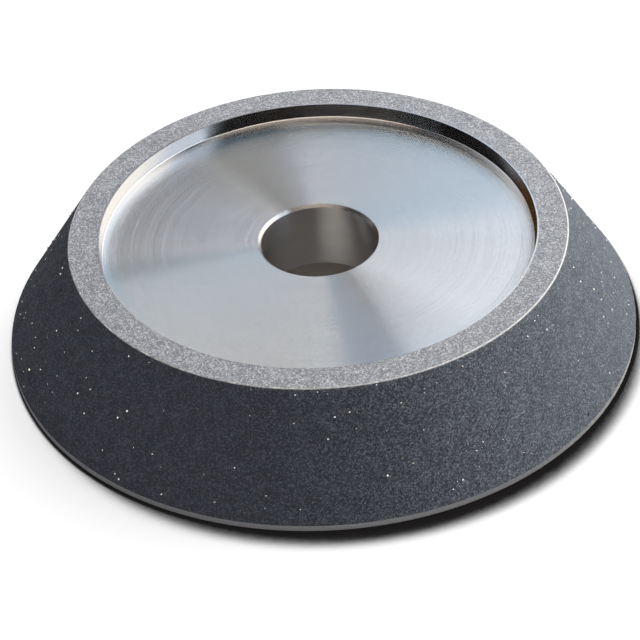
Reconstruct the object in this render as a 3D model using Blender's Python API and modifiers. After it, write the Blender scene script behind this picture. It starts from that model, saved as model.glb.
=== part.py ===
"""Bevelled diamond grinding wheel: a turned steel core with an abrasive rim bonded round it.

The wheel lies on its wide back face. +Z is the wheel's axis, and the origin is the middle of the
back plane. Outlines are lists of (radius, height) points, in metres. Angles are in degrees.
"""

import math

import bpy

MM = 0.001

# Whole wheel
OUTER_DIAMETER = 110.0 * MM
THICKNESS = 20.0 * MM
CONE_ANGLE = 32.5               # working cone, measured from the wheel's axis
EDGE_LAND = 1.2 * MM            # height of the ground cylinder at the widest place

# Abrasive rim
RIM_FACE_WIDTH = 5.0 * MM       # width of the abrasive on the front face
EDGE_BREAK = 0.15 * MM          # the two outer edges are dressed off by this much
BOND_LINE = 0.3 * MM            # room for the bond between rim and core, half on each side

# Bore
BORE_DIAMETER = 20.0 * MM
BORE_CHAMFER = 0.5 * MM

# Front recess, which takes the clamping flange
FRONT_LIP = 0.15 * MM           # steel left between the recess and the bond, at the face
FRONT_DEPTH = 2.65 * MM
FRONT_DRAFT = 5.0
FRONT_FILLET = 0.3 * MM
FRONT_RAMP_WIDTH = 1.3 * MM     # shallow ramp that the facing tool leaves beside the wall
FRONT_RAMP_ANGLE = 4.5

# Back recess
BACK_RING_WIDTH = 10.6 * MM     # steel ring that the wheel lies on, inside the bond
BACK_DEPTH = 4.2 * MM
BACK_DRAFT = 5.0
BACK_FILLET = 1.2 * MM
BACK_EDGE_CHAMFER = 0.4 * MM

# Turning
TURN_STEPS = 128
FILLET_STEPS = 4
MERGE_DISTANCE = 0.001 * MM
SHARP_ANGLE = 30.0

# Finishes: linear colour, metallic, roughness
STEEL_FINISH = ((0.56, 0.57, 0.58, 1.0), 1.0, 0.28)
ABRASIVE_FINISH = ((0.075, 0.078, 0.085, 1.0), 0.0, 0.62)


def cone_run(height):
    """Return how far the working cone moves outwards over a height."""
    return height * math.tan(math.radians(CONE_ANGLE))


def face_radius():
    """Return the radius of the front face, where the working cone ends."""
    return OUTER_DIAMETER / 2 - cone_run(THICKNESS - EDGE_LAND)


def seat_radius(height):
    """Return the middle of the bond line at a height: a cone parallel to the working cone."""
    return face_radius() - RIM_FACE_WIDTH + cone_run(THICKNESS - height)


def corner_fillet(corner, floor_angle, draft, radius, upwards):
    """Round the corner between a recess floor and its drafted wall.

    corner is the point where floor and wall would meet. The recess opens upwards or downwards, its
    wall leans outwards towards its mouth, and its floor may rise towards the wall. The points run
    from the floor to the wall.
    """
    first = math.radians(floor_angle)
    last = math.radians(90.0 - draft)
    setback = radius * math.tan((last - first) / 2)
    side = 1.0 if upwards else -1.0
    centre_radius = corner[0] - setback * math.cos(first) - radius * math.sin(first)
    centre_lift = radius * math.cos(first) - setback * math.sin(first)
    points = []
    for step in range(FILLET_STEPS + 1):
        angle = first + (last - first) * step / FILLET_STEPS
        points.append((
            centre_radius + radius * math.sin(angle),
            corner[1] + side * (centre_lift - radius * math.cos(angle)),
        ))
    return points


def front_recess():
    """Outline of the front recess, from the floor out to the lip at the front face."""
    lip_inner = seat_radius(THICKNESS) - BOND_LINE / 2 - FRONT_LIP
    lean = math.tan(math.radians(FRONT_DRAFT))
    slope = math.tan(math.radians(FRONT_RAMP_ANGLE))
    wall_foot = lip_inner - FRONT_DEPTH * lean
    floor = THICKNESS - FRONT_DEPTH
    ramp_start = (wall_foot - FRONT_RAMP_WIDTH, floor)
    rise = FRONT_RAMP_WIDTH * slope / (1 - slope * lean)
    corner = (wall_foot + rise * lean, floor + rise)
    rounded = corner_fillet(corner, FRONT_RAMP_ANGLE, FRONT_DRAFT, FRONT_FILLET, upwards=True)
    return [ramp_start] + rounded + [(lip_inner, THICKNESS)]


def back_recess():
    """Outline of the back recess, from the back ring in to the floor."""
    mouth = seat_radius(0.0) - BOND_LINE / 2 - BACK_RING_WIDTH
    wall_foot = mouth - BACK_DEPTH * math.tan(math.radians(BACK_DRAFT))
    chamfer_run = BACK_EDGE_CHAMFER * math.tan(math.radians(BACK_DRAFT))
    corner = corner_fillet(
        (wall_foot, BACK_DEPTH), 0.0, BACK_DRAFT, BACK_FILLET, upwards=False)
    edge = [(mouth + BACK_EDGE_CHAMFER, 0.0), (mouth - chamfer_run, BACK_EDGE_CHAMFER)]
    return edge + corner[::-1]


def bore():
    """Outline of the bore with its two chamfers, from the back recess up to the front one."""
    radius = BORE_DIAMETER / 2
    top = THICKNESS - FRONT_DEPTH
    return [
        (radius + BORE_CHAMFER, BACK_DEPTH),
        (radius, BACK_DEPTH + BORE_CHAMFER),
        (radius, top - BORE_CHAMFER),
        (radius + BORE_CHAMFER, top),
    ]


def core_outline():
    """Outline of the steel core: down its conical seat, in along the back and up the bore."""
    seat = [(seat_radius(height) - BOND_LINE / 2, height) for height in (THICKNESS, 0.0)]
    return seat + back_recess() + bore() + front_recess()


def rim_outline():
    """Outline of the abrasive rim: down its working side, in along the back and up its seat."""
    outer = OUTER_DIAMETER / 2
    face = face_radius()
    working_side = [
        (face - EDGE_BREAK, THICKNESS),
        (face + cone_run(EDGE_BREAK), THICKNESS - EDGE_BREAK),
        (outer, EDGE_LAND),
        (outer, EDGE_BREAK),
        (outer - EDGE_BREAK, 0.0),
    ]
    seat = [(seat_radius(height) + BOND_LINE / 2, height) for height in (0.0, THICKNESS)]
    return working_side + seat


def make_material(name, finish):
    """Make a plain material from a linear colour, a metallic value and a roughness."""
    colour, metallic, roughness = finish
    material = bpy.data.materials.new(name)
    material.use_nodes = True
    material.diffuse_color = colour
    shader = material.node_tree.nodes["Principled BSDF"]
    shader.inputs["Base Color"].default_value = colour
    shader.inputs["Metallic"].default_value = metallic
    shader.inputs["Roughness"].default_value = roughness
    return material


def turn(name, outline, material, collection):
    """Turn a closed outline about +Z into one solid, smooth but for its real edges."""
    profile = bpy.data.meshes.new(name + "_outline")
    points = [(radius, 0.0, height) for radius, height in outline]
    edges = [(index, (index + 1) % len(points)) for index in range(len(points))]
    profile.from_pydata(points, edges, [])
    piece = bpy.data.objects.new(name, profile)
    collection.objects.link(piece)

    screw = piece.modifiers.new("turning", "SCREW")
    screw.axis = "Z"
    screw.angle = math.tau
    screw.steps = TURN_STEPS
    screw.render_steps = TURN_STEPS
    screw.use_merge_vertices = True
    screw.merge_threshold = MERGE_DISTANCE

    view = bpy.context.evaluated_depsgraph_get()
    solid = bpy.data.meshes.new_from_object(piece.evaluated_get(view))
    solid.name = name
    piece.modifiers.clear()
    piece.data = solid
    bpy.data.meshes.remove(profile)
    solid.shade_smooth()
    solid.set_sharp_from_angle(angle=math.radians(SHARP_ANGLE))
    solid.materials.append(material)
    return piece


def main():
    """Clear the scene and build the wheel's two pieces."""
    for old in list(bpy.data.objects):
        bpy.data.objects.remove(old, do_unlink=True)
    wheel = bpy.data.collections.new("grinding_wheel")
    bpy.context.scene.collection.children.link(wheel)
    steel = make_material("turned_steel", STEEL_FINISH)
    abrasive = make_material("bonded_diamond_abrasive", ABRASIVE_FINISH)
    turn("steel_core", core_outline(), steel, wheel)
    turn("abrasive_rim", rim_outline(), abrasive, wheel)


main()
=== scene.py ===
"""Finish of a bevelled grinding wheel: turned steel core, bonded diamond rim, studio and camera.

The wheel lies on its back with its axis along +Z. Outlines are lists of (radius, height) points in
metres. Angles are in radians, but for those of edge_plane.
"""

import math
import random

import bmesh
import bpy
from mathutils import Matrix, Vector, noise


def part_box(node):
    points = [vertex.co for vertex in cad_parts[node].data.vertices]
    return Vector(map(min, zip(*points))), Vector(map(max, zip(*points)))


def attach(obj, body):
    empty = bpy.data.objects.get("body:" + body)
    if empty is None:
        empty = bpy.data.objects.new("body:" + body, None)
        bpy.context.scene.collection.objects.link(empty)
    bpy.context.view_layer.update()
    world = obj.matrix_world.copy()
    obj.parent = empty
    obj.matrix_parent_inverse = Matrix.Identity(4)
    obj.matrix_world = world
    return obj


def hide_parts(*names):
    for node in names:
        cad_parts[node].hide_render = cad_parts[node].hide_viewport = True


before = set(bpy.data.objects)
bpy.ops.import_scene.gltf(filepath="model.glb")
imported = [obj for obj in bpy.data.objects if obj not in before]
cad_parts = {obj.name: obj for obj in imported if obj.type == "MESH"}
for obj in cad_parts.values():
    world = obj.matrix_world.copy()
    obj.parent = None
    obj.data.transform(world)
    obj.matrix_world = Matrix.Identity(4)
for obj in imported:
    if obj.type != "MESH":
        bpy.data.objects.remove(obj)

bl_info = {
    "name": "Grinding Wheel Finish",
    "version": (1, 0, 0),
    "blender": (4, 5, 0),
    "location": "View3D > Sidebar > Grinding Wheel",
    "description": "Builds the turned core, the abrasive rim, its grains and a small studio",
    "category": "Object",
}

MM = 0.001
RIM_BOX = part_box("abrasive_rim")
OUTER_RADIUS = RIM_BOX[1].x
THICKNESS = RIM_BOX[1].z

# Turning
UV_NAME = "turning"         # U runs round the wheel, V is the length along the outline in mm
FULL_TURN = math.tau
MERGE_DISTANCE = 0.001 * MM
SHARP_ANGLE = math.radians(30.0)
FILLET_STEPS = 8
CORE_SEGMENTS = 384
CORE_SPACING = 2.5 * MM
RIM_SEGMENTS = 900
RIM_SPACING = 0.42 * MM
SEAT_SPACING = 6.0 * MM     # coarse, since the rim's seat is hidden

# Surface of the rim
PIT_SIZE = 0.45 * MM
PIT_SHARE = 0.4             # how unevenly the relief is pressed in
SPECKLE_SIZE = 0.2 * MM
PATCH_SIZE = 2.5 * MM
GRAIN_SEED = 20
FLAT_GRAIN = 0.5            # height against width of a grain that the ground face cuts level
DRESSED, GROUND_PAINTED_LIGHTER, WORN_AND_HIGHLIGHT = range(3)

# Studio
FLOOR_SIZE = 4.0
TENT_RADIUS = 3.0
LAMP_SIZE = (0.25, 0.2)
LAMP_PLACE = (0.341, 0.267, 0.502)
# The floor's shadow near the wheel is painted: an occlusion test within this reach, leaning this
# way, darkens its glowing white.
PAINTED_SHADOW_REACH = 10.0 * MM
PAINTED_SHADOW_LEAN = (-0.24, 0.66, 0.71)    # towards the light that the wheel hides from the floor
FLOOR_GLOW = 0.8            # share of the floor's white that no shadow of the lamp reaches
BLACK = (0.0, 0.0, 0.0, 1.0)
WHITE = (1.0, 1.0, 1.0, 1.0)


class WheelSizes(bpy.types.PropertyGroup):
    """Sizes of the wheel's two pieces that a user would change."""

    cone_angle: bpy.props.FloatProperty(
        name="Cone Angle", description="Working cone, measured from the axis",
        default=math.radians(32.5), subtype="ANGLE")
    edge_land: bpy.props.FloatProperty(
        name="Edge Land", description="Height of the ground cylinder at the widest place",
        default=1.2 * MM, unit="LENGTH")
    face_width: bpy.props.FloatProperty(
        name="Face Width", description="Width of the abrasive on the front face",
        default=5.0 * MM, unit="LENGTH")
    bore_diameter: bpy.props.FloatProperty(
        name="Bore", description="Diameter of the spindle bore",
        default=20.0 * MM, unit="LENGTH")
    bore_chamfer: bpy.props.FloatProperty(
        name="Bore Chamfer", description="Chamfer at each end of the bore",
        default=0.5 * MM, unit="LENGTH")
    front_lip: bpy.props.FloatProperty(
        name="Front Lip", description="Steel between the front recess and the abrasive",
        default=0.28 * MM, unit="LENGTH")
    front_depth: bpy.props.FloatProperty(
        name="Front Depth", description="Depth of the front recess",
        default=2.65 * MM, unit="LENGTH")
    front_fillet: bpy.props.FloatProperty(
        name="Front Fillet", description="Corner radius of the front recess",
        default=0.3 * MM, unit="LENGTH")
    ramp_width: bpy.props.FloatProperty(
        name="Ramp Width", description="Shallow ramp that the facing tool leaves beside the wall",
        default=1.3 * MM, unit="LENGTH")
    ramp_angle: bpy.props.FloatProperty(
        name="Ramp Angle", description="Rise of that ramp towards the wall",
        default=math.radians(4.5), subtype="ANGLE")
    back_depth: bpy.props.FloatProperty(
        name="Back Depth", description="Depth of the back recess",
        default=4.2 * MM, unit="LENGTH")
    back_fillet: bpy.props.FloatProperty(
        name="Back Fillet", description="Corner radius of the back recess",
        default=1.2 * MM, unit="LENGTH")
    back_ring: bpy.props.FloatProperty(
        name="Back Ring", description="Width of the steel ring that the wheel lies on",
        default=10.6 * MM, unit="LENGTH")
    draft: bpy.props.FloatProperty(
        name="Draft", description="Lean of the recess walls",
        default=math.radians(5.0), subtype="ANGLE")
    edge_break: bpy.props.FloatProperty(
        name="Edge Break", description="How much the rim's outer edges are dressed off",
        default=0.15 * MM, unit="LENGTH")
    back_chamfer: bpy.props.FloatProperty(
        name="Back Chamfer", description="Chamfer at the mouth of the back recess",
        default=0.4 * MM, unit="LENGTH")
    bond_line: bpy.props.FloatProperty(
        name="Bond Line", description="Film of bond between core and rim",
        default=0.01 * MM, unit="LENGTH")


class GrainSettings(bpy.types.PropertyGroup):
    """Size and number of the diamond grains that stand out of the bond."""

    size: bpy.props.FloatProperty(
        name="Grain Size", description="Mean size of a grain that stands proud",
        default=0.38 * MM, unit="LENGTH")
    count: bpy.props.IntProperty(
        name="Grain Count", description="Grains on the whole rim", default=600, min=0)
    relief: bpy.props.FloatProperty(
        name="Relief", description="How far the proud grains stand out of the bond",
        default=0.04 * MM, unit="LENGTH")


class FinishColours(bpy.types.PropertyGroup):
    """Colours of the finishes, as sRGB hex values."""

    steel: bpy.props.StringProperty(
        name="Turned Steel", description="Bright steel of the core", default="CCCDCF")
    bond: bpy.props.StringProperty(
        name="Bond", description="Dark resin between the grains", default="666A70")
    grain: bpy.props.StringProperty(
        name="Coated Grain", description="Nickel coat on the diamond grains", default="9CA1A9")
    # The ground colours are lighter than the dressed ones, partly for the grinding and partly as
    # painted light: the flat front face, which looks up, is drawn lighter.
    ground_bond_painted_lighter: bpy.props.StringProperty(
        name="Ground Bond", description="Resin of the ground faces", default="74777B")
    ground_grain_painted_lighter: bpy.props.StringProperty(
        name="Ground Grain", description="Grains cut level by grinding", default="BEC0C4")
    # Near white: partly wear from handling, partly a painted highlight along the edge breaks and
    # the land.
    worn_edge_and_highlight: bpy.props.StringProperty(
        name="Worn Edge", description="Edge rubbed bright by handling", default="E8E6E2")
    spark: bpy.props.StringProperty(
        name="Crystal Face", description="Bright flat face of a proud grain", default="F4F2EE")


class StudioSettings(bpy.types.PropertyGroup):
    """Camera place and light levels."""

    camera_distance: bpy.props.FloatProperty(
        name="Camera Distance", description="From the middle of the front face to the camera",
        default=447.15 * MM, unit="LENGTH")
    camera_height: bpy.props.FloatProperty(
        name="Camera Elevation", description="Camera angle above the front face",
        default=math.radians(36.521), subtype="ANGLE")
    camera_pitch: bpy.props.FloatProperty(
        name="Camera Pitch", description="Aim below the middle of the front face",
        default=math.radians(2.05), subtype="ANGLE")
    camera_yaw: bpy.props.FloatProperty(
        name="Camera Yaw", description="Aim beside the middle of the front face",
        default=math.radians(0.069), subtype="ANGLE")
    camera_roll: bpy.props.FloatProperty(
        name="Camera Roll", description="Turn of the camera about its own line of sight",
        default=math.radians(3.443), subtype="ANGLE")
    lamp_power: bpy.props.FloatProperty(
        name="Lamp Power", description="Soft lamp behind the wheel and to its right",
        default=5.3, unit="POWER")
    lens: bpy.props.FloatProperty(
        name="Lens", description="Focal length on a 36 mm sensor", default=146.0)


# Nodes

def linear(hex_colour):
    """Turn an sRGB hex value into a linear colour with alpha 1."""
    channels = [int(hex_colour[i:i + 2], 16) / 255 for i in (0, 2, 4)]
    return [c / 12.92 if c <= 0.04045 else ((c + 0.055) / 1.055) ** 2.4 for c in channels] + [1.0]


def add_node(tree, kind, inputs=None, **settings):
    """Add a node, set its settings, and set or link its inputs by name or number."""
    node = tree.nodes.new(kind)
    for name, value in settings.items():
        setattr(node, name, value)
    for key, value in (inputs or {}).items():
        if isinstance(value, bpy.types.NodeSocket):
            tree.links.new(value, node.inputs[key])
        else:
            node.inputs[key].default_value = value
    return node


def empty_material(name):
    """Return a new material with an empty node tree."""
    material = bpy.data.materials.new(name)
    material.use_nodes = True
    material.node_tree.nodes.clear()
    return material


def soft_step(tree, value, low, high):
    """Return a socket that rises smoothly from 0 at low to 1 at high."""
    step = add_node(tree, "ShaderNodeMapRange", {
        "Value": value, "From Min": low, "From Max": high}, interpolation_type="SMOOTHSTEP")
    return step.outputs[0]


def side_of(tree, direction, normal):
    """Return a socket with how far a direction lies on one side of a plane."""
    return add_node(tree, "ShaderNodeVectorMath", {0: direction, 1: normal},
                    operation="DOT_PRODUCT").outputs["Value"]


def mix_colour(tree, factor, low, high):
    """Return a socket that goes from one colour to another."""
    return add_node(tree, "ShaderNodeMix", {"Factor": factor, "A": low, "B": high},
                    data_type="RGBA").outputs["Result"]


def background_rays(tree):
    """Return a socket that is 1 for rays which should see a white background."""
    path = add_node(tree, "ShaderNodeLightPath")
    mirrored = add_node(tree, "ShaderNodeMath", {
        0: path.outputs["Is Glossy Ray"], 1: path.outputs["Is Transmission Ray"]},
        operation="MAXIMUM")
    return add_node(tree, "ShaderNodeMath", {
        0: path.outputs["Is Camera Ray"], 1: mirrored.outputs[0]}, operation="MAXIMUM").outputs[0]


# Outlines

def cone_run(height):
    """Return how far the working cone moves outwards over a height."""
    return height * math.tan(bpy.context.scene.wheel_sizes.cone_angle)


def face_radius():
    """Return the radius of the front face, where the working cone ends."""
    return OUTER_RADIUS - cone_run(THICKNESS - bpy.context.scene.wheel_sizes.edge_land)


def seat_radius(height):
    """Return the radius of the seat between core and rim at a height."""
    face_width = bpy.context.scene.wheel_sizes.face_width
    return face_radius() - face_width + cone_run(THICKNESS - height)


def corner_fillet(corner, floor_angle, draft, radius, side):
    """Round the corner between a recess floor and its drafted wall, from floor to wall."""
    last = math.pi / 2 - draft
    setback = radius * math.tan((last - floor_angle) / 2)
    centre_radius = corner[0] - setback * math.cos(floor_angle) - radius * math.sin(floor_angle)
    lift = radius * math.cos(floor_angle) - setback * math.sin(floor_angle)
    turns = [
        floor_angle + (last - floor_angle) * step / FILLET_STEPS
        for step in range(FILLET_STEPS + 1)
    ]
    return [
        (centre_radius + radius * math.sin(turn),
         corner[1] + side * (lift - radius * math.cos(turn)))
        for turn in turns
    ]


def front_recess(sizes, seat):
    """Outline of the front recess: its floor's shallow ramp, its corner and its lip."""
    lean = math.tan(sizes.draft)
    slope = math.tan(sizes.ramp_angle)
    mouth = seat - sizes.front_lip
    wall_foot = mouth - sizes.front_depth * lean
    floor = THICKNESS - sizes.front_depth
    rise = sizes.ramp_width * slope / (1 - slope * lean)
    corner = (wall_foot + rise * lean, floor + rise)
    rounded = corner_fillet(corner, sizes.ramp_angle, sizes.draft, sizes.front_fillet, 1.0)
    return [(wall_foot - sizes.ramp_width, floor)] + rounded + [(mouth, THICKNESS)]


def core_outline(sizes):
    """Outline of the steel core: down its seat, in along the back, up the bore and out."""
    half_bond = sizes.bond_line / 2
    seat = seat_radius(THICKNESS) - half_bond
    floor = THICKNESS - sizes.front_depth
    bore = sizes.bore_diameter / 2
    chamfer = sizes.bore_chamfer
    mouth = seat_radius(0.0) - sizes.back_ring
    edge = sizes.back_chamfer
    back = corner_fillet(
        (mouth - sizes.back_depth * math.tan(sizes.draft), sizes.back_depth), 0.0, sizes.draft,
        sizes.back_fillet, -1.0)
    return (
        [(seat, THICKNESS), (seat_radius(0.0) - half_bond, 0.0)]
        + [(mouth + edge, 0.0), (mouth, edge)]
        + back[::-1]
        + [(bore + chamfer, sizes.back_depth), (bore, sizes.back_depth + chamfer)]
        + [(bore, floor - chamfer), (bore + chamfer, floor)]
        + front_recess(sizes, seat)
    )


def rim_outline(sizes):
    """Outline of the abrasive rim: down its working side, in along the back, up its seat."""
    face = face_radius()
    half_bond = sizes.bond_line / 2
    edge = sizes.edge_break
    return [
        (face - edge, THICKNESS),
        (face + cone_run(edge), THICKNESS - edge),
        (OUTER_RADIUS, sizes.edge_land),
        (OUTER_RADIUS, edge),
        (OUTER_RADIUS - edge, 0.0),
        (seat_radius(0.0) + half_bond, 0.0),
        (seat_radius(THICKNESS) + half_bond, THICKNESS),
    ]


def refine(outline, spacing_at):
    """Add points to a closed outline so that none is further apart than spacing_at allows."""
    points = []
    for index, start in enumerate(outline):
        end = outline[(index + 1) % len(outline)]
        length = math.dist(start, end)
        parts = max(1, math.ceil(length / spacing_at(start, end)))
        for part in range(parts):
            share = part / parts
            points.append(tuple(a + (b - a) * share for a, b in zip(start, end)))
    return points


def turn_outline(outline, segments):
    """Spin a closed outline about +Z into a closed bmesh with a UV map that follows the turning."""
    bm = bmesh.new()
    along = bm.verts.layers.float.new("along")
    verts = [bm.verts.new((radius, 0.0, height)) for radius, height in outline]
    length = 0.0
    for index, vert in enumerate(verts):
        vert[along] = length
        length += (verts[(index + 1) % len(verts)].co - vert.co).length / MM
    edges = [bm.edges.new((verts[i], verts[(i + 1) % len(verts)])) for i in range(len(verts))]
    bmesh.ops.spin(
        bm, geom=verts + edges, cent=(0, 0, 0), axis=(0, 0, 1), dvec=(0, 0, 0),
        angle=FULL_TURN, steps=segments, use_merge=True, use_duplicate=False)
    bmesh.ops.remove_doubles(bm, verts=bm.verts, dist=MERGE_DISTANCE)
    bmesh.ops.recalc_face_normals(bm, faces=bm.faces)
    map_turning(bm, along, length)
    return bm


def map_turning(bm, along, length):
    """Lay the UV map, with the seams where the turn and the outline start again."""
    uv = bm.loops.layers.uv.new(UV_NAME)
    for face in bm.faces:
        middle = face.calc_center_median()
        middle_turn = math.atan2(middle.y, middle.x)
        lengths = [loop.vert[along] for loop in face.loops]
        wraps = max(lengths) - min(lengths) > length / 2
        for loop in face.loops:
            turn = math.atan2(loop.vert.co.y, loop.vert.co.x)
            turn += FULL_TURN * round((middle_turn - turn) / FULL_TURN)
            start_again = wraps and loop.vert[along] < length / 2
            loop[uv].uv = (turn / FULL_TURN, loop.vert[along] + (length if start_again else 0.0))


def finish_piece(name, bm, node_name, materials):
    """Make an object of a bmesh, shade it, and let it stand for its CAD node."""
    mesh = bpy.data.meshes.new(name)
    bm.to_mesh(mesh)
    bm.free()
    for material in materials:
        mesh.materials.append(material)
    mesh.shade_smooth()
    mesh.set_sharp_from_angle(angle=SHARP_ANGLE)
    piece = bpy.data.objects.new(name, mesh)
    bpy.context.scene.collection.objects.link(piece)
    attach(piece, "root")
    if node_name:
        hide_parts(node_name)
    return piece


# Materials

def steel_material(name, colour, gloss, line_pitch, line_lean):
    """Bright carbon steel, turned on a lathe.

    Every ring that the tool leaves leans a little outwards or inwards, so reflections smear
    across the rings into wedges that swing round the bore. These rings are drawn far finer than
    real ones, so that they blur, and only faint coarser ones show as lines, where the feed was
    uneven. line_pitch is in mm, and line_lean is how much the rings' slopes differ.
    """
    material = empty_material(name)
    tree = material.node_tree
    uv = add_node(tree, "ShaderNodeUVMap", uv_map=UV_NAME)
    tangent = add_node(tree, "ShaderNodeTangent", direction_type="UV_MAP", uv_map=UV_NAME)
    split = add_node(tree, "ShaderNodeSeparateXYZ", {0: uv.outputs["UV"]})
    ring = add_node(tree, "ShaderNodeMath", {0: split.outputs["Y"], 1: line_pitch},
                    operation="DIVIDE")
    number = add_node(tree, "ShaderNodeMath", {0: ring.outputs[0]}, operation="FLOOR")
    chance = add_node(tree, "ShaderNodeTexWhiteNoise", {"W": number.outputs[0]},
                      noise_dimensions="1D")
    fine = add_node(tree, "ShaderNodeVectorMath", {
        0: chance.outputs["Color"], 1: (1.0, 1.0, 1.0)}, operation="DOT_PRODUCT")
    coarse = add_node(tree, "ShaderNodeTexNoise", {
        "W": split.outputs["Y"], "Scale": 2.6, "Detail": 4.0, "Roughness": 0.75},
        noise_dimensions="1D")
    fine_lean = add_node(tree, "ShaderNodeMath", {
        0: fine.outputs["Value"], 1: 2.0 * line_lean, 2: -3.0 * line_lean},
        operation="MULTIPLY_ADD")
    lean = add_node(tree, "ShaderNodeMath", {
        0: coarse.outputs["Fac"], 1: 0.004, 2: fine_lean.outputs[0]}, operation="MULTIPLY_ADD")
    surface = add_node(tree, "ShaderNodeNewGeometry")
    across = add_node(tree, "ShaderNodeVectorMath", {
        0: surface.outputs["Normal"], 1: tangent.outputs[0]}, operation="CROSS_PRODUCT")
    leaned = add_node(tree, "ShaderNodeVectorMath", {
        0: across.outputs[0], 1: lean.outputs[0], 2: surface.outputs["Normal"]},
        operation="MULTIPLY_ADD")
    normal = add_node(tree, "ShaderNodeVectorMath", {0: leaned.outputs[0]},
                      operation="NORMALIZE")
    tint = add_node(tree, "ShaderNodeMapRange", {
        "Value": coarse.outputs["Fac"], "From Min": 0.3, "From Max": 0.7,
        "To Min": 0.97, "To Max": 1.0})
    base = add_node(tree, "ShaderNodeMix", {
        "Factor": 1.0, "A": linear(colour), "B": tint.outputs[0]},
        data_type="RGBA", blend_type="MULTIPLY")
    roughness = add_node(tree, "ShaderNodeMapRange", {
        "Value": coarse.outputs["Fac"], "From Min": 0.3, "From Max": 0.7,
        "To Min": gloss * 0.96, "To Max": gloss * 1.04})
    shader = add_node(tree, "ShaderNodeBsdfPrincipled", {
        "Base Color": base.outputs["Result"], "Metallic": 1.0,
        "Roughness": roughness.outputs[0], "Anisotropic": 1.0, "Anisotropic Rotation": 0.25,
        "Tangent": tangent.outputs[0], "Normal": normal.outputs[0]})
    add_node(tree, "ShaderNodeOutputMaterial", {"Surface": shader.outputs[0]})
    return material


def abrasive_material(name, bond, grain, lean, cut, shine):
    """Resin bond filled with nickel-coated diamond grains.

    Each coated grain is a small dull mirror that leans its own way, so the surface looks like
    fine grey speckle, a few cells bright and most dark. Where it is ground or worn, cut lays more
    of the grains bare, and shine is how much of them mirrors. The grains are drawn about twice
    their real size, because 0.09 mm grit is finer than the picture shows.
    """
    material = empty_material(name)
    tree = material.node_tree
    place = add_node(tree, "ShaderNodeTexCoord")
    cells = add_node(tree, "ShaderNodeTexVoronoi", {
        "Vector": place.outputs["Object"], "Scale": 1.0 / SPECKLE_SIZE}, feature="F1")
    sway = add_node(tree, "ShaderNodeVectorMath", {
        0: cells.outputs["Color"], 1: (0.5, 0.5, 0.5)}, operation="SUBTRACT")
    surface = add_node(tree, "ShaderNodeNewGeometry")
    leaned = add_node(tree, "ShaderNodeVectorMath", {
        0: sway.outputs[0], 1: (lean, lean, lean), 2: surface.outputs["Normal"]},
        operation="MULTIPLY_ADD")
    normal = add_node(tree, "ShaderNodeVectorMath", {0: leaned.outputs[0]}, operation="NORMALIZE")
    split = add_node(tree, "ShaderNodeSeparateColor", {0: cells.outputs["Color"]})
    patches = add_node(tree, "ShaderNodeTexNoise", {
        "Vector": place.outputs["Object"], "Scale": 1.0 / PATCH_SIZE, "Detail": 3.0})
    wear = add_node(tree, "ShaderNodeMapRange", {
        "Value": patches.outputs["Fac"], "From Min": 0.3, "From Max": 0.7,
        "To Min": -0.1, "To Max": 0.1})
    sparse = add_node(tree, "ShaderNodeMath", {0: split.outputs[0], 1: 3.0}, operation="POWER")
    share = add_node(tree, "ShaderNodeMath", {
        0: sparse.outputs[0], 1: 0.8, 2: cut}, operation="MULTIPLY_ADD")
    shown = add_node(tree, "ShaderNodeMath", {
        0: share.outputs[0], 1: wear.outputs[0]}, operation="ADD", use_clamp=True)
    base = add_node(tree, "ShaderNodeMix", {
        "Factor": shown.outputs[0], "A": linear(bond), "B": linear(grain)}, data_type="RGBA")
    metal = add_node(tree, "ShaderNodeMath", {0: shown.outputs[0], 1: shine}, operation="MULTIPLY")
    roughness = add_node(tree, "ShaderNodeMapRange", {
        "Value": split.outputs[1], "To Min": 0.4, "To Max": 0.6})
    shader = add_node(tree, "ShaderNodeBsdfPrincipled", {
        "Base Color": base.outputs["Result"], "Metallic": metal.outputs[0],
        "Roughness": roughness.outputs[0], "Specular IOR Level": 0.0,
        "Normal": normal.outputs[0]})
    add_node(tree, "ShaderNodeOutputMaterial", {"Surface": shader.outputs[0]})
    return material


def grain_material(name, grain):
    """Nickel-coated diamond grit: flat crystal faces that catch the light one by one."""
    material = empty_material(name)
    tree = material.node_tree
    place = add_node(tree, "ShaderNodeTexCoord")
    shade = add_node(tree, "ShaderNodeTexNoise", {
        "Vector": place.outputs["Object"], "Scale": 1.0 / (0.5 * MM), "Detail": 1.0})
    bright = add_node(tree, "ShaderNodeMapRange", {
        "Value": shade.outputs["Fac"], "From Min": 0.3, "From Max": 0.7,
        "To Min": 0.7, "To Max": 1.0})
    base = add_node(tree, "ShaderNodeMix", {
        "Factor": 1.0, "A": linear(grain), "B": bright.outputs[0]},
        data_type="RGBA", blend_type="MULTIPLY")
    shader = add_node(tree, "ShaderNodeBsdfPrincipled", {
        "Base Color": base.outputs["Result"], "Metallic": 1.0, "Roughness": 0.22})
    add_node(tree, "ShaderNodeOutputMaterial", {"Surface": shader.outputs[0]})
    return material


class WHEEL_OT_turn_core(bpy.types.Operator):
    """Turn the steel core with its bore and its two recesses"""

    bl_idname = "wheel.turn_core"
    bl_label = "Turn Steel Core"

    def execute(self, context):
        """Spin the core's outline and give the faces and the bore their steel."""
        scene = context.scene
        sizes = scene.wheel_sizes
        outline = refine(core_outline(sizes), lambda start, end: CORE_SPACING)
        bm = turn_outline(outline, CORE_SEGMENTS)
        bore_reach = sizes.bore_diameter / 2 + sizes.bore_chamfer * 0.75
        for face in bm.faces:
            middle = face.calc_center_median()
            face.material_index = int(math.hypot(middle.x, middle.y) < bore_reach)
        colour = scene.finish_colours.steel
        turned = steel_material(
            "turned_bright_steel", colour, gloss=0.114, line_pitch=0.001, line_lean=0.107)
        bored = steel_material(
            "bored_bright_steel", colour, gloss=0.2, line_pitch=0.001, line_lean=0.2)
        finish_piece("turned_core", bm, "steel_core", [turned, bored])
        return {"FINISHED"}


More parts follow.
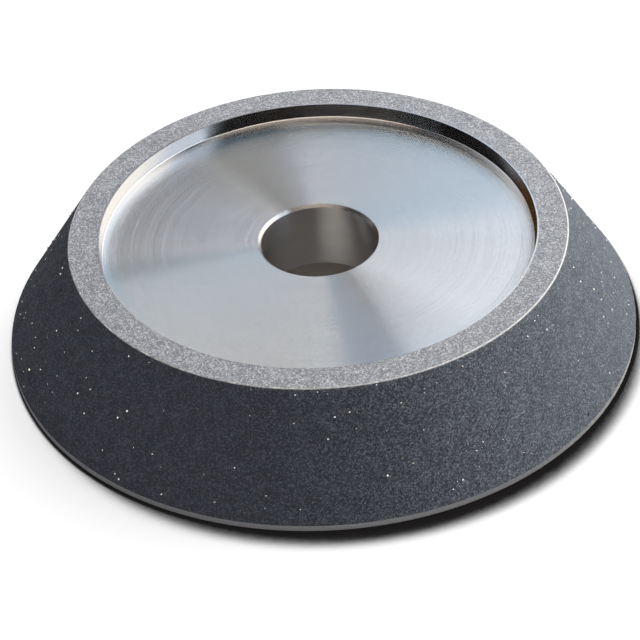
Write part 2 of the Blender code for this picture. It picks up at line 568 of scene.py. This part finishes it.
class WHEEL_OT_mould_rim(bpy.types.Operator):
    """Mould the abrasive rim with its pitted, dressed surface"""

    bl_idname = "wheel.mould_rim"
    bl_label = "Mould Abrasive Rim"

    def execute(self, context):
        """Spin the rim's outline finely and press shallow pits into what shows."""
        scene = context.scene
        sizes = scene.wheel_sizes
        inner_back = seat_radius(0.0) + sizes.bond_line / 2

        def spacing(start, end):
            on_seat = start[1] < 0.5 * THICKNESS and abs(start[0] - inner_back) < 0.1 * MM
            return SEAT_SPACING if on_seat else RIM_SPACING

        outline = refine(rim_outline(sizes), spacing)
        bm = turn_outline(outline, RIM_SEGMENTS)
        relief = scene.grain_settings.relief
        pit_scale = 1.0 / PIT_SIZE
        bm.normal_update()
        for vert in bm.verts:
            seat = seat_radius(vert.co.z) + sizes.bond_line
            if math.hypot(vert.co.x, vert.co.y) > seat:
                depth = 1.0 + PIT_SHARE * noise.noise(vert.co * pit_scale)
                vert.co -= vert.normal * relief * depth
        for face in bm.faces:
            face.material_index = rim_finish(face.calc_center_median(), sizes)
        colours = scene.finish_colours
        dressed = abrasive_material(
            "dressed_diamond_abrasive", colours.bond, colours.grain, lean=0.35, cut=0.0, shine=0.1)
        # Partly painted light: the ground faces get lighter colours and more bare grain, partly for
        # the grinding and partly so that the face that looks up shows lighter.
        ground = abrasive_material(
            "ground_abrasive_painted_lighter", colours.ground_bond_painted_lighter, colours.ground_grain_painted_lighter,
            lean=0.5, cut=0.25, shine=0.3)
        # Partly painted highlight: the edge breaks and the land get a near-white colour, partly for
        # wear and partly standing for the light they catch.
        worn = abrasive_material(
            "worn_and_highlit_abrasive_edge", colours.ground_grain_painted_lighter, colours.worn_edge_and_highlight,
            lean=0.35, cut=0.8, shine=0.05)
        materials = [dressed, ground, worn]
        finish_piece("moulded_rim", bm, "abrasive_rim", materials)
        return {"FINISHED"}


def rim_finish(middle, sizes):
    """Return which finish a face of the rim has, as the number of its material."""
    radius = math.hypot(middle.x, middle.y)
    above_break = middle.z > THICKNESS - sizes.edge_break * 1.1
    on_land = middle.z < sizes.edge_land and radius > OUTER_RADIUS - sizes.edge_break
    if on_land or (above_break and radius > face_radius() - sizes.edge_break):
        return WORN_AND_HIGHLIGHT
    if above_break or middle.z < sizes.edge_land:
        return GROUND_PAINTED_LIGHTER
    return DRESSED


class WHEEL_OT_set_grains(bpy.types.Operator):
    """Set diamond grains that stand a little proud of the bond"""

    bl_idname = "wheel.set_grains"
    bl_label = "Set Diamond Grains"

    def execute(self, context):
        """Scatter small octahedra, spheres of four by two faces, over the face and the cone."""
        scene = context.scene
        settings = scene.grain_settings
        chance = random.Random(GRAIN_SEED)
        crystal = bmesh.new()
        bmesh.ops.create_uvsphere(crystal, u_segments=4, v_segments=2, radius=1.0)
        shape = bpy.data.meshes.new("crystal")
        crystal.to_mesh(shape)
        crystal.free()
        bm = bmesh.new()
        for _ in range(settings.count):
            place = grain_place(chance, settings.size, scene.wheel_sizes)
            shape.transform(place)
            bm.from_mesh(shape)
            shape.transform(place.inverted())
        bpy.data.meshes.remove(shape)
        material = grain_material("coated_diamond_grit", scene.finish_colours.spark)
        piece = finish_piece("diamond_grains", bm, None, [material])
        piece.data.shade_flat()
        return {"FINISHED"}


def grain_place(chance, size, sizes):
    """Pick a place, a lean and a size for one grain that stands a little proud."""
    face = face_radius()
    inner = seat_radius(THICKNESS)
    cone_height = THICKNESS - sizes.edge_land
    face_area = face ** 2 - inner ** 2
    cone_area = (face + OUTER_RADIUS) * cone_height / math.cos(sizes.cone_angle)
    half = size * chance.uniform(0.6, 1.4) / 2
    flat = 1.0
    if chance.random() * (face_area + cone_area) < 2 * face_area:
        radius = math.sqrt(chance.uniform((inner + size) ** 2, (face - size) ** 2))
        flat = FLAT_GRAIN
        height = THICKNESS - half * flat * 1.1
    else:
        radius = math.sqrt(chance.uniform(face ** 2, (OUTER_RADIUS - size) ** 2))
        height = THICKNESS - (radius - face) / math.tan(sizes.cone_angle)
        height = min(height, THICKNESS - 2 * half)
        radius -= half * 0.3
    turn = Matrix.Rotation(chance.uniform(0, FULL_TURN), 4, "Z")
    axis = Vector([chance.uniform(-1, 1) for _ in range(3)]).normalized()
    tumble = Matrix.Rotation(chance.uniform(0, math.pi), 4, axis)
    level = Matrix.Scale(flat, 4, Vector((0, 0, 1)))
    shrink = Matrix.Scale(half, 4)
    return turn @ Matrix.Translation((radius, 0, height)) @ level @ tumble @ shrink


class WHEEL_OT_set_studio(bpy.types.Operator):
    """Set up the floor, the studio light and the camera"""

    bl_idname = "wheel.set_studio"
    bl_label = "Set Up Studio"

    def execute(self, context):
        """Make the stage in a fixed order."""
        scene = context.scene
        make_floor(scene)
        make_tent(scene)
        make_world(scene)
        make_lamp(scene, scene.studio_settings)
        make_camera(scene, scene.studio_settings)
        scene.view_settings.view_transform = "Standard"
        return {"FINISHED"}


def make_floor(scene):
    """A wide white floor, with a painted shadow where the wheel hides the light from behind it.

    The shadow is painted into the floor's glowing white from an occlusion test near the wheel,
    and the floor under the wheel is painted dark. Its white is seen but hardly lights the wheel,
    and the lamp's soft shadow stays faintly on it.
    """
    bm = bmesh.new()
    bmesh.ops.create_grid(bm, x_segments=1, y_segments=1, size=FLOOR_SIZE)
    mesh = bpy.data.meshes.new("studio_floor")
    bm.to_mesh(mesh)
    bm.free()
    floor = bpy.data.objects.new("studio_floor", mesh)
    scene.collection.objects.link(floor)
    material = empty_material("matt_white_floor")
    tree = material.node_tree
    place = add_node(tree, "ShaderNodeTexCoord").outputs["Object"]
    from_axis = add_node(tree, "ShaderNodeVectorMath", {0: place}, operation="LENGTH")
    under = soft_step(tree, from_axis.outputs["Value"], OUTER_RADIUS * 0.9, OUTER_RADIUS * 0.8)
    # Painted shadow: an occlusion test that leans towards the light behind the wheel darkens the
    # floor's glowing white near it.
    painted_shadow_axis = add_node(tree, "ShaderNodeCombineXYZ", dict(zip("XYZ", PAINTED_SHADOW_LEAN)))
    near = add_node(tree, "ShaderNodeAmbientOcclusion", {
        "Distance": PAINTED_SHADOW_REACH, "Normal": painted_shadow_axis.outputs[0]}, samples=48)
    painted_shadow_fade = soft_step(tree, near.outputs["AO"], 0.65, 0.78)
    seen = mix_colour(tree, painted_shadow_fade, (0.012, 0.011, 0.011, 1.0), WHITE)
    # Painted shade: under the wheel the floor's glowing white is painted dark.
    seen = mix_colour(tree, under, seen, (0.03, 0.026, 0.022, 1.0))
    white = background_rays(tree)
    colour = mix_colour(tree, white, WHITE, seen)
    colour = mix_colour(tree, 0.25, BLACK, colour)
    cloth = add_node(tree, "ShaderNodeBsdfDiffuse", {
        "Color": mix_colour(tree, under, colour, (0.9, 0.84, 0.77, 1.0))})
    strength = add_node(tree, "ShaderNodeMath", {0: white, 1: FLOOR_GLOW}, operation="MULTIPLY")
    glow = add_node(tree, "ShaderNodeEmission", {"Color": seen, "Strength": strength.outputs[0]})
    both = add_node(tree, "ShaderNodeAddShader", {0: cloth.outputs[0], 1: glow.outputs[0]})
    add_node(tree, "ShaderNodeOutputMaterial", {"Surface": both.outputs[0]})
    material.cycles.emission_sampling = "NONE"
    mesh.materials.append(material)


def edge_plane(azimuth, elevation, turn):
    """Normal of the plane of a straight edge that passes a direction, seen from the wheel.

    At a turn of 0 the edge is level and the normal points up. It swings to the right as the turn
    grows.
    """
    azimuth, elevation, turn = (math.radians(angle) for angle in (azimuth, elevation, turn))
    right = Vector((math.sin(azimuth), -math.cos(azimuth), 0))
    ahead = Vector((
        math.cos(elevation) * math.cos(azimuth), math.cos(elevation) * math.sin(azimuth),
        math.sin(elevation)))
    up = right.cross(ahead)
    return up * math.cos(turn) + right * math.sin(turn)


def tent_colour(tree, direction):
    """Colour of the tent's wall: a white and blue panel right, a grey one left, a gap between."""
    height = add_node(tree, "ShaderNodeSeparateXYZ", {0: direction}).outputs["Z"]
    gap = side_of(tree, direction, edge_plane(91.5, 36.5, 103.4))
    right = soft_step(tree, gap, 0.031, 0.053)
    left = soft_step(tree, gap, -0.031, -0.053)
    above = soft_step(tree, side_of(tree, direction, edge_plane(90.0, 36.2, 11.9)), -0.025, 0.025)
    overhead = soft_step(tree, height, 0.77, 0.81)
    lit = soft_step(tree, side_of(tree, direction, (0.574, 0.819, 0.0)), -0.05, 0.05)
    near_gap = soft_step(tree, gap, -0.12, -0.05)
    past_gap = soft_step(tree, gap, -0.12, -0.22)
    rise = add_node(tree, "ShaderNodeMapRange", {"Value": height, "From Max": 0.6}).outputs[0]
    glare = soft_step(tree, side_of(tree, direction, (0.765, 0.441, 0.469)), 0.82, 0.93)
    top = soft_step(tree, height, 0.9, 0.94)

    dark = (0.012, 0.011, 0.01, 1)
    low = mix_colour(tree, rise, (1.78, 1.23, 1.08, 1), (0.38, 0.78, 1.08, 1))
    right_panel = mix_colour(tree, above, low, (1.49, 1.6, 1.76, 1))
    right_panel = mix_colour(tree, overhead, right_panel, dark)
    right_panel = mix_colour(tree, glare, right_panel, (2.5, 2.35, 2.1, 1))
    left_panel = mix_colour(tree, past_gap, dark, (1.07, 1.06, 1.09, 1))
    left_panel = mix_colour(tree, near_gap, left_panel, (2.25, 2.13, 1.87, 1))
    left_panel = mix_colour(tree, above, (0.11, 0.05, 0.01, 1), left_panel)
    wall = mix_colour(tree, above, (0.62, 0.54, 0.43, 1), (0.26, 0.35, 0.44, 1))
    wall = mix_colour(tree, right, wall, right_panel)
    wall = mix_colour(tree, left, wall, left_panel)
    wall = mix_colour(tree, lit, dark, wall)
    return mix_colour(tree, top, wall, (2.0, 1.7, 1.45, 1))


def make_tent(scene):
    """A cloth light tent that only mirrors show. The camera looks through it at white."""
    bm = bmesh.new()
    bmesh.ops.create_icosphere(bm, subdivisions=4, radius=TENT_RADIUS)
    mesh = bpy.data.meshes.new("light_tent")
    bm.to_mesh(mesh)
    bm.free()
    tent = bpy.data.objects.new("light_tent", mesh)
    scene.collection.objects.link(tent)
    tent.visible_camera = False
    tent.visible_diffuse = False
    tent.visible_shadow = False
    material = empty_material("lit_tent_cloth")
    tree = material.node_tree
    place = add_node(tree, "ShaderNodeTexCoord").outputs["Object"]
    direction = add_node(tree, "ShaderNodeVectorMath", {0: place}, operation="NORMALIZE")
    colour = tent_colour(tree, direction.outputs[0])
    light = add_node(tree, "ShaderNodeEmission", {"Color": colour, "Strength": 1.0})
    add_node(tree, "ShaderNodeOutputMaterial", {"Surface": light.outputs[0]})
    mesh.materials.append(material)


def make_world(scene):
    """A white world to look at, which lights the wheel only faintly."""
    world = bpy.data.worlds.new("studio")
    world.use_nodes = True
    scene.world = world
    tree = world.node_tree
    tree.nodes.clear()
    colour = mix_colour(tree, background_rays(tree), (0.2, 0.2, 0.22, 1.0), WHITE)
    background = add_node(tree, "ShaderNodeBackground", {"Color": colour, "Strength": 1.0})
    add_node(tree, "ShaderNodeOutputWorld", {"Surface": background.outputs[0]})


def make_lamp(scene, settings):
    """One soft lamp behind the wheel and to its right, for what is matt."""
    lamp = bpy.data.lights.new("back_softbox", "AREA")
    lamp.shape = "RECTANGLE"
    lamp.size, lamp.size_y = LAMP_SIZE
    lamp.energy = settings.lamp_power
    holder = bpy.data.objects.new("back_softbox", lamp)
    place = Vector(LAMP_PLACE)
    holder.matrix_world = Matrix.Translation(place) @ (
        -place).to_track_quat("-Z", "Y").to_matrix().to_4x4()
    holder.visible_glossy = False
    scene.collection.objects.link(holder)


def make_camera(scene, settings):
    """Place the camera in front of the wheel and above it, aimed a little low."""
    up_angle = settings.camera_height
    offset = settings.camera_distance * Vector((0, -math.cos(up_angle), math.sin(up_angle)))
    place = Vector((0, 0, THICKNESS)) + offset
    forward = -offset.normalized()
    right = Vector((1, 0, 0))
    up = right.cross(forward)
    yaw = Matrix.Rotation(settings.camera_yaw, 3, up)
    forward = yaw @ forward
    right = yaw @ right
    forward = Matrix.Rotation(-settings.camera_pitch, 3, right) @ forward
    right = Matrix.Rotation(settings.camera_roll, 3, forward) @ right
    up = right.cross(forward)
    camera = bpy.data.cameras.new("camera")
    camera.sensor_width = 36.0
    camera.lens = settings.lens
    camera.clip_start = 0.01
    holder = bpy.data.objects.new("camera", camera)
    axes = Matrix((right, up, -forward)).transposed().to_4x4()
    holder.matrix_world = Matrix.Translation(place) @ axes
    scene.collection.objects.link(holder)
    scene.camera = holder


class VIEW3D_PT_grinding_wheel(bpy.types.Panel):
    """Lists the steps that build the wheel's finish"""

    bl_label = "Grinding Wheel"
    bl_space_type = "VIEW_3D"
    bl_region_type = "UI"
    bl_category = "Grinding Wheel"

    def draw(self, context):
        """Show the operators and the settings they use."""
        layout = self.layout
        for operator in OPERATORS:
            layout.operator(operator.bl_idname)
        for group in SETTINGS:
            owner = getattr(context.scene, group)
            for name in owner.__annotations__:
                layout.prop(owner, name)


SETTINGS = {
    "wheel_sizes": WheelSizes,
    "grain_settings": GrainSettings,
    "finish_colours": FinishColours,
    "studio_settings": StudioSettings,
}
OPERATORS = (WHEEL_OT_turn_core, WHEEL_OT_mould_rim, WHEEL_OT_set_grains, WHEEL_OT_set_studio)


def register():
    """Register the classes and hang the settings on the scene."""
    for group in SETTINGS.values():
        bpy.utils.register_class(group)
    for name, group in SETTINGS.items():
        setattr(bpy.types.Scene, name, bpy.props.PointerProperty(type=group))
    for operator in OPERATORS:
        bpy.utils.register_class(operator)
    bpy.utils.register_class(VIEW3D_PT_grinding_wheel)


def unregister():
    """Take the settings off the scene and unregister the classes."""
    bpy.utils.unregister_class(VIEW3D_PT_grinding_wheel)
    for operator in reversed(OPERATORS):
        bpy.utils.unregister_class(operator)
    for name in SETTINGS:
        delattr(bpy.types.Scene, name)
    for group in reversed(list(SETTINGS.values())):
        bpy.utils.unregister_class(group)


def main():
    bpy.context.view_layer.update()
    register()
    bpy.ops.wheel.set_studio()
    bpy.ops.wheel.turn_core()
    bpy.ops.wheel.mould_rim()
    bpy.ops.wheel.set_grains()


if __name__ == "__main__":
    main()
